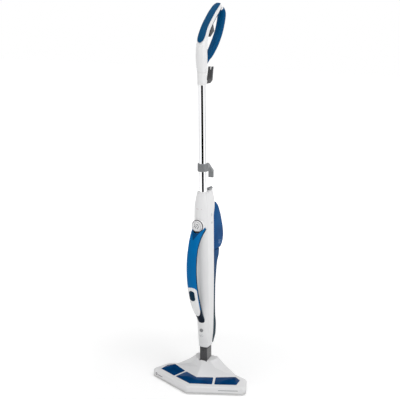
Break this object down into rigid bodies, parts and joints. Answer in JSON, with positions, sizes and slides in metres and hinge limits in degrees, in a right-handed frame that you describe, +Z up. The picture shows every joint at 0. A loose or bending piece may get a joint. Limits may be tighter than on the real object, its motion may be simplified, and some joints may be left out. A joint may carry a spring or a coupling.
{
  "type": "steam mop",
  "caption": "Upright steam mop with a chevron floor head, two-axis neck, lift-off steam unit with arched carrying handle and water tank, and a tube handle with a closed loop grip.",
  "frame": {"origin": "on the floor under the neck axis, at the middle of the head's width", "axes": "+Z up, -Y towards the front corner of the head, +X to the right of a viewer behind the mop"},
  "size_m": [0.3344, 0.2657, 1.2039],
  "materials": {
    "white_plastic": "satin gloss moulded plastic",
    "blue_plastic": "gloss moulded plastic",
    "navy_plastic": "gloss moulded plastic",
    "tank_plastic": "tinted translucent plastic",
    "window_plastic": "tinted window",
    "dark_plastic": "fine texture",
    "grey_plastic": "fine texture",
    "cloth": "microfibre pile",
    "hook_loop": "hook-and-loop strip",
    "chrome": "polished",
    "steel": "plain",
    "seal_rubber": "matte",
    "boiler_metal": "cast",
    "filter_resin": "cartridge",
    "hose": "silicone",
    "board": "solder mask"
  },
  "bodies": {
    "mop_head": {"head_cover": "white_plastic", "head_base": "white_plastic", "window_left": "window_plastic", "window_centre": "window_plastic", "window_right": "window_plastic", "cloth_pad": "cloth", "velcro_strips": "hook_loop", "steam_distributor": "grey_plastic", "hub_bracket": "dark_plastic", "pitch_pin": "steel", "head_screws": "steel"},
    "fork_link": {"neck_fork": "dark_plastic", "roll_pin": "steel"},
    "steam_plug": {"neck_connector": "dark_plastic", "plug_seal": "seal_rubber"},
    "steam_unit": {"base_ring": "white_plastic", "front_casing": "white_plastic", "rear_casing": "white_plastic", "top_cap": "white_plastic", "tube_socket": "grey_plastic", "rear_cover": "blue_plastic", "cord_gland": "grey_plastic", "knob_bezel": "white_plastic", "regulation_valve": "grey_plastic", "carry_grip_front": "blue_plastic", "carry_grip_rear": "navy_plastic", "handle_cap": "white_plastic", "steam_microswitch": "dark_plastic", "boiler": "boiler_metal", "heating_element": "steel", "thermostats": "dark_plastic", "pump": "dark_plastic", "filter_cartridge": "filter_resin", "water_hoses": "hose", "steam_pipe": "steel", "circuit_board": "board", "casing_screws": "steel"},
    "steam_knob": {"regulation_knob": "white_plastic"},
    "thumb_button": {"steam_button": "navy_plastic"},
    "catch_button": {"release_button": "grey_plastic"},
    "tank": {"water_tank": "tank_plastic", "tank_lid": "grey_plastic", "tank_valve": "dark_plastic"},
    "tank_cap": {"filler_cap": "grey_plastic"},
    "upper_handle": {"chrome_tube": "chrome", "handle_sleeve": "white_plastic", "handle_shell_left": "white_plastic", "handle_shell_right": "white_plastic", "front_grip": "blue_plastic", "rear_grip_left": "blue_plastic", "rear_grip_right": "blue_plastic", "trigger_pin": "steel", "trigger_microswitch": "dark_plastic", "tube_harness": "seal_rubber", "hook_pin": "steel"},
    "trigger_lever": {"trigger": "dark_plastic"},
    "upper_cord_hook": {"cord_hook": "dark_plastic"},
    "lower_cord_hook": {"collar_hook": "grey_plastic"}
  },
  "joints": [
    {"name": "neck_pitch", "type": "hinge", "parent": "mop_head", "child": "fork_link", "pos_m": [0, 0, 0.048], "axis": [-1, 0, 0], "range_deg": [0, 70]},
    {"name": "neck_roll", "type": "hinge", "parent": "fork_link", "child": "steam_plug", "pos_m": [0, 0, 0.108], "axis": [0, 1, 0], "range_deg": [-45, 45]},
    {"name": "unit_lift", "type": "slide", "parent": "steam_plug", "child": "steam_unit", "axis": [0, 0, 1], "range_m": [0, 0.04]},
    {"name": "knob_turn", "type": "hinge", "parent": "steam_unit", "child": "steam_knob", "pos_m": [0, -0.04, 0.531], "axis": [0, -1, 0], "range_deg": [-135, 135]},
    {"name": "thumb_press", "type": "slide", "parent": "steam_unit", "child": "thumb_button", "axis": [0, 0.961, 0.2767], "range_m": [0, 0.0025], "stiffness_N_per_m": 600},
    {"name": "catch_press", "type": "slide", "parent": "steam_unit", "child": "catch_button", "axis": [0, 1, 0], "range_m": [0, 0.002], "stiffness_N_per_m": 600},
    {"name": "tank_pull", "type": "slide", "parent": "steam_unit", "child": "tank", "axis": [0, 1, 0], "range_m": [0, 0.04]},
    {"name": "cap_turn", "type": "hinge", "parent": "tank", "child": "tank_cap", "pos_m": [0, 0.06, 0.44], "axis": [0, 0, 1], "range_deg": [0, 90]},
    {"name": "handle_pull", "type": "slide", "parent": "steam_unit", "child": "upper_handle", "axis": [0, 0, 1], "range_m": [0, 0.055]},
    {"name": "trigger_squeeze", "type": "hinge", "parent": "upper_handle", "child": "trigger_lever", "pos_m": [0, 0.046, 1.148], "axis": [-1, 0, 0], "range_deg": [0, 8], "stiffness_Nm_per_rad": 0.4, "springref_deg": -2.86},
    {"name": "hook_turn", "type": "hinge", "parent": "upper_handle", "child": "upper_cord_hook", "pos_m": [0, 0.02, 0.973], "axis": [0, 1, 0], "range_deg": [0, 180]},
    {"name": "collar_turn", "type": "hinge", "parent": "upper_handle", "child": "lower_cord_hook", "pos_m": [0, -0.008, 0.71], "axis": [0, 0, 1], "range_deg": [-90, 90]}
  ]
}
